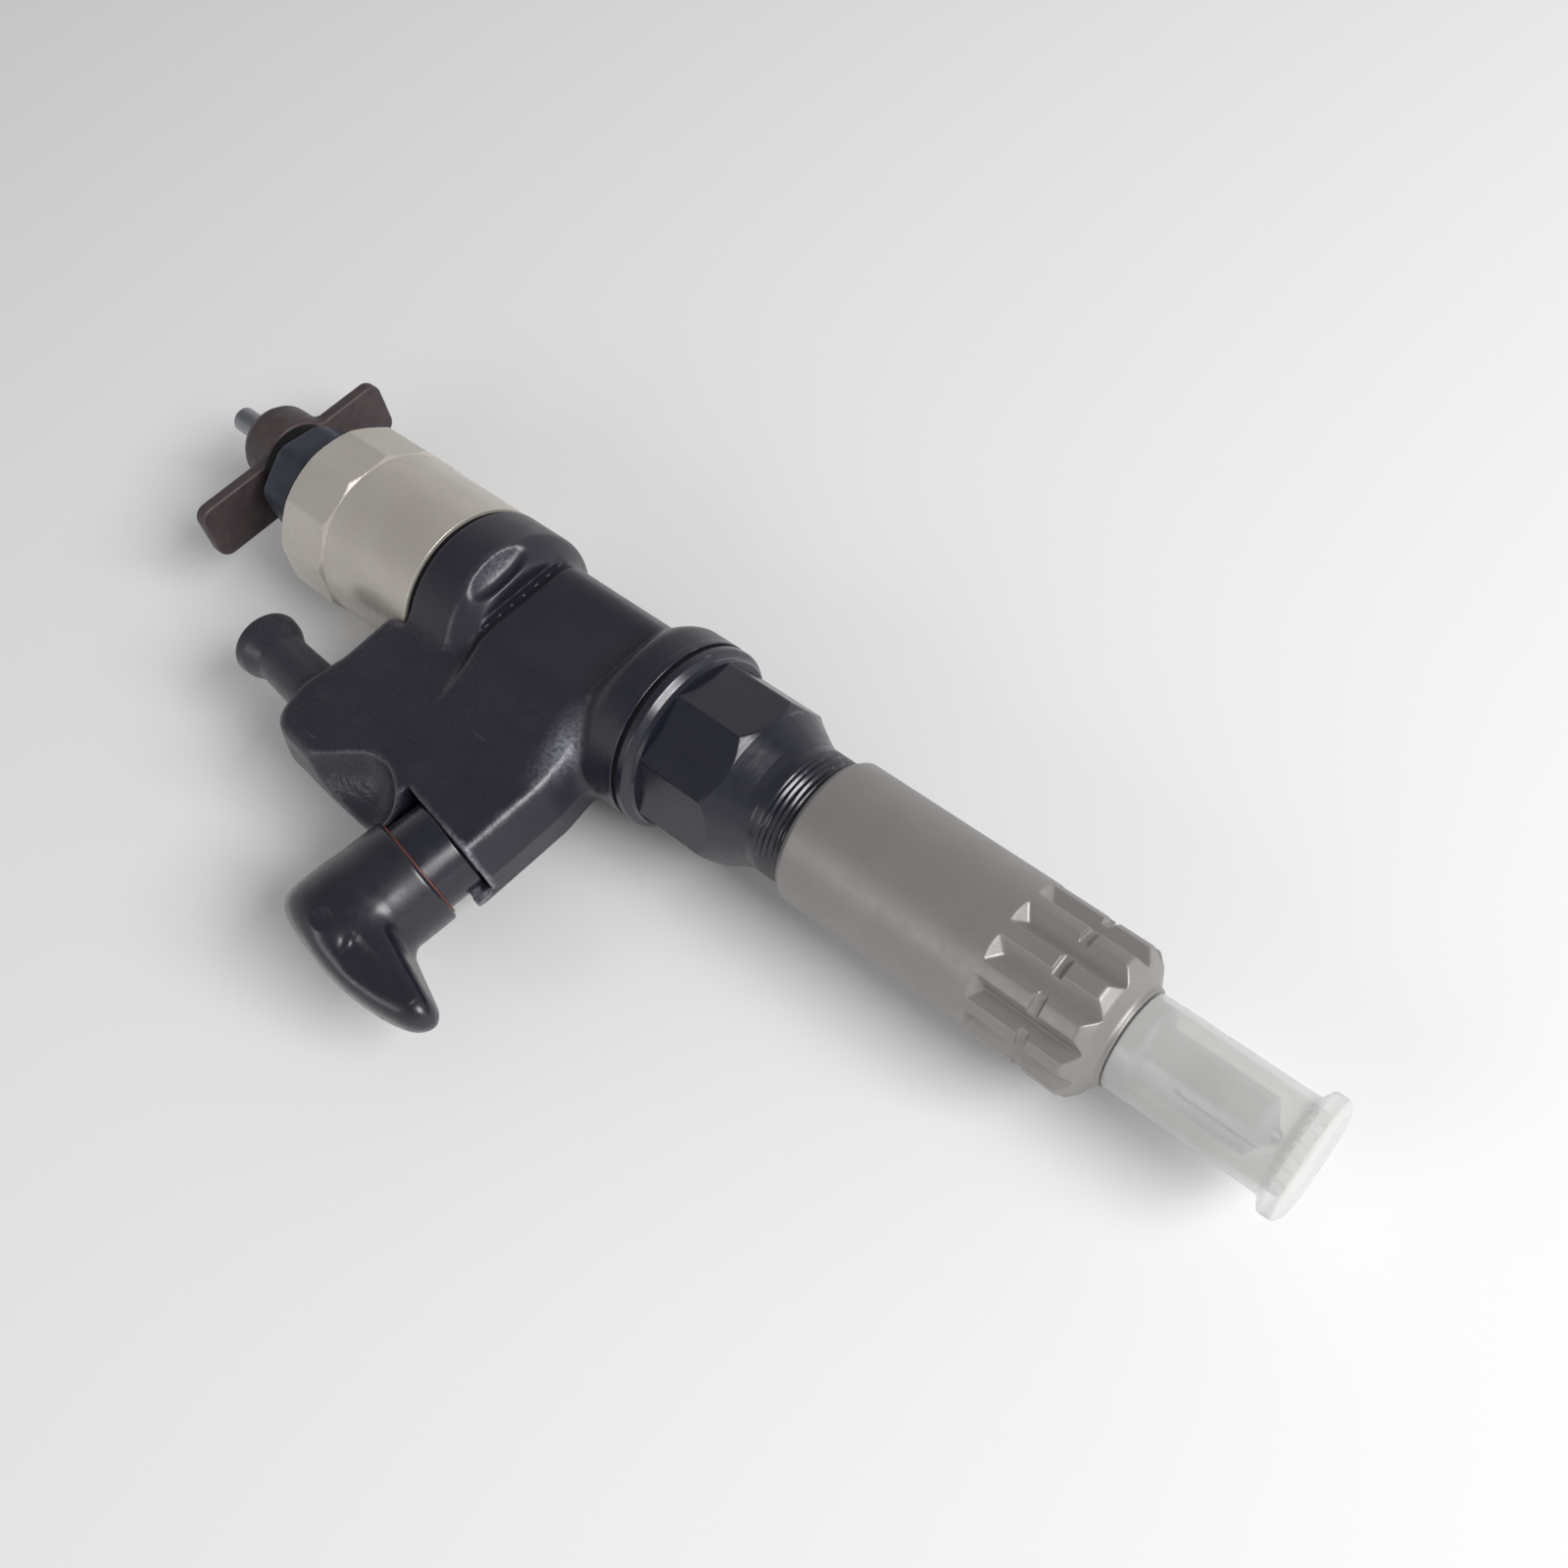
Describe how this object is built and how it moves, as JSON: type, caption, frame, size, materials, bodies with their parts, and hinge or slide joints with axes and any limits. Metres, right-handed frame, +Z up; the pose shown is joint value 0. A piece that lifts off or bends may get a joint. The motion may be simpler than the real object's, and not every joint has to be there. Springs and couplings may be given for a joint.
{
  "type": "fuel injector",
  "caption": "Common-rail diesel injector with a side inlet arm, leak-off nipple, terminal stud, retaining nuts and pull-off protective caps.",
  "frame": {"origin": "on the main axis, at the middle of the plain barrel of the nozzle retaining nut", "axes": "+X along the main axis towards the nozzle, the inlet arm towards -Y, +Z up, square to the arm's flat face"},
  "size_m": [0.1824, 0.0671, 0.0258],
  "materials": {
    "black_oxide_steel": "satin",
    "solenoid_nut_steel": "satin",
    "phosphated_steel": "matte",
    "bright_steel": "satin",
    "spring_steel": "satin",
    "sintered_core": "matte",
    "copper_wire": "enamelled",
    "bobbin_plastic": "matte",
    "slate_plastic": "satin",
    "brown_phenolic": "matte",
    "black_rubber": "matte",
    "milky_plastic": "translucent",
    "glossy_black_plastic": "gloss",
    "red_brown_ring": "satin"
  },
  "bodies": {
    "injector": {"injector_body": "black_oxide_steel", "inlet_union": "black_oxide_steel", "inlet_filter": "bright_steel", "leak_off_nipple": "black_oxide_steel", "flange_seal_ring": "black_rubber", "collar_seal_ring": "black_rubber", "solenoid_nut": "solenoid_nut_steel", "solenoid_housing": "bright_steel", "terminal_block": "slate_plastic", "terminal_seal": "black_rubber", "terminal_insulator": "brown_phenolic", "terminal_stud": "bright_steel", "solenoid_core": "sintered_core", "coil_bobbin": "bobbin_plastic", "coil_winding": "copper_wire", "coil_leads": "copper_wire", "air_gap_shim": "bright_steel", "valve_spring_shim": "bright_steel", "valve_spring": "spring_steel", "valve_body": "bright_steel", "orifice_plate": "bright_steel", "spring_shim": "bright_steel", "nozzle_spring": "spring_steel", "distance_piece": "bright_steel", "locating_dowels": "bright_steel", "nozzle_body": "bright_steel", "nozzle_nut": "phosphated_steel"},
    "armature": {"armature": "bright_steel", "valve_ball": "bright_steel"},
    "needle": {"nozzle_needle": "bright_steel", "pressure_pin": "bright_steel", "command_piston": "bright_steel"},
    "nozzle_cap": {"nozzle_cap": "milky_plastic"},
    "inlet_cap": {"inlet_cap": "glossy_black_plastic", "inlet_cap_ring": "red_brown_ring"}
  },
  "joints": [
    {"name": "armature_lift", "type": "slide", "parent": "injector", "child": "armature", "axis": [-1, 0, 0], "range_m": [0, 0.00006], "stiffness_N_per_m": 9500, "springref_m": -0.0015, "deforming": ["valve_spring"]},
    {"name": "needle_lift", "type": "slide", "parent": "injector", "child": "needle", "axis": [-1, 0, 0], "range_m": [0, 0.00028], "stiffness_N_per_m": 9600, "springref_m": -0.003, "deforming": ["nozzle_spring"]},
    {"name": "nozzle_cap_pull", "type": "slide", "parent": "injector", "child": "nozzle_cap", "axis": [1, 0, 0], "range_m": [0, 0.026]},
    {"name": "inlet_cap_pull", "type": "slide", "parent": "injector", "child": "inlet_cap", "axis": [-0.1513, -0.9885, 0], "range_m": [0, 0.025]}
  ]
}
